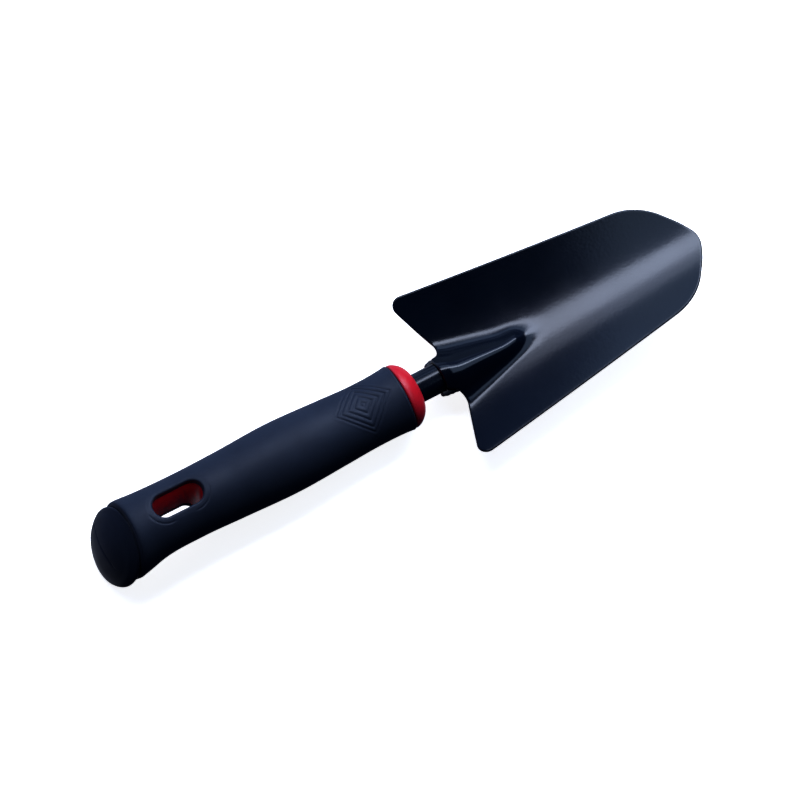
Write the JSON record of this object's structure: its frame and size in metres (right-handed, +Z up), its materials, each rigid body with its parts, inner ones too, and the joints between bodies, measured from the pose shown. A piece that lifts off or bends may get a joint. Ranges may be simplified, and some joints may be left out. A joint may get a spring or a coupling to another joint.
{
  "type": "hand trowel",
  "caption": "Hand trowel with a dished, pointed steel blade on a short tube shank, a ribbed neck, and a black rubber grip over a red core with a hang slot.",
  "frame": {"origin": "on the surface that the trowel lies on, under the middle of its bounding box", "axes": "+X from the butt to the tip, +Y to the left of someone holding it, +Z up out of the blade's hollow"},
  "size_m": [0.2878, 0.0792, 0.0356],
  "materials": {
    "blade_paint": "satin black enamel with a faint blue cast",
    "shank_paint": "satin black enamel over drawn tube",
    "weld_paint": "black enamel over a rippled weld bead",
    "core_plastic": "moulded red, semi-gloss",
    "grip_rubber": "matte soft-touch, lightly worn",
    "cap_plastic": "moulded black, satin"
  },
  "bodies": {
    "root": {"blade": "blade_paint", "shank_tube": "shank_paint", "weld_bead_left": "weld_paint", "weld_bead_right": "weld_paint", "handle_core": "core_plastic", "grip": "grip_rubber", "butt_cap": "cap_plastic"}
  },
  "joints": []
}
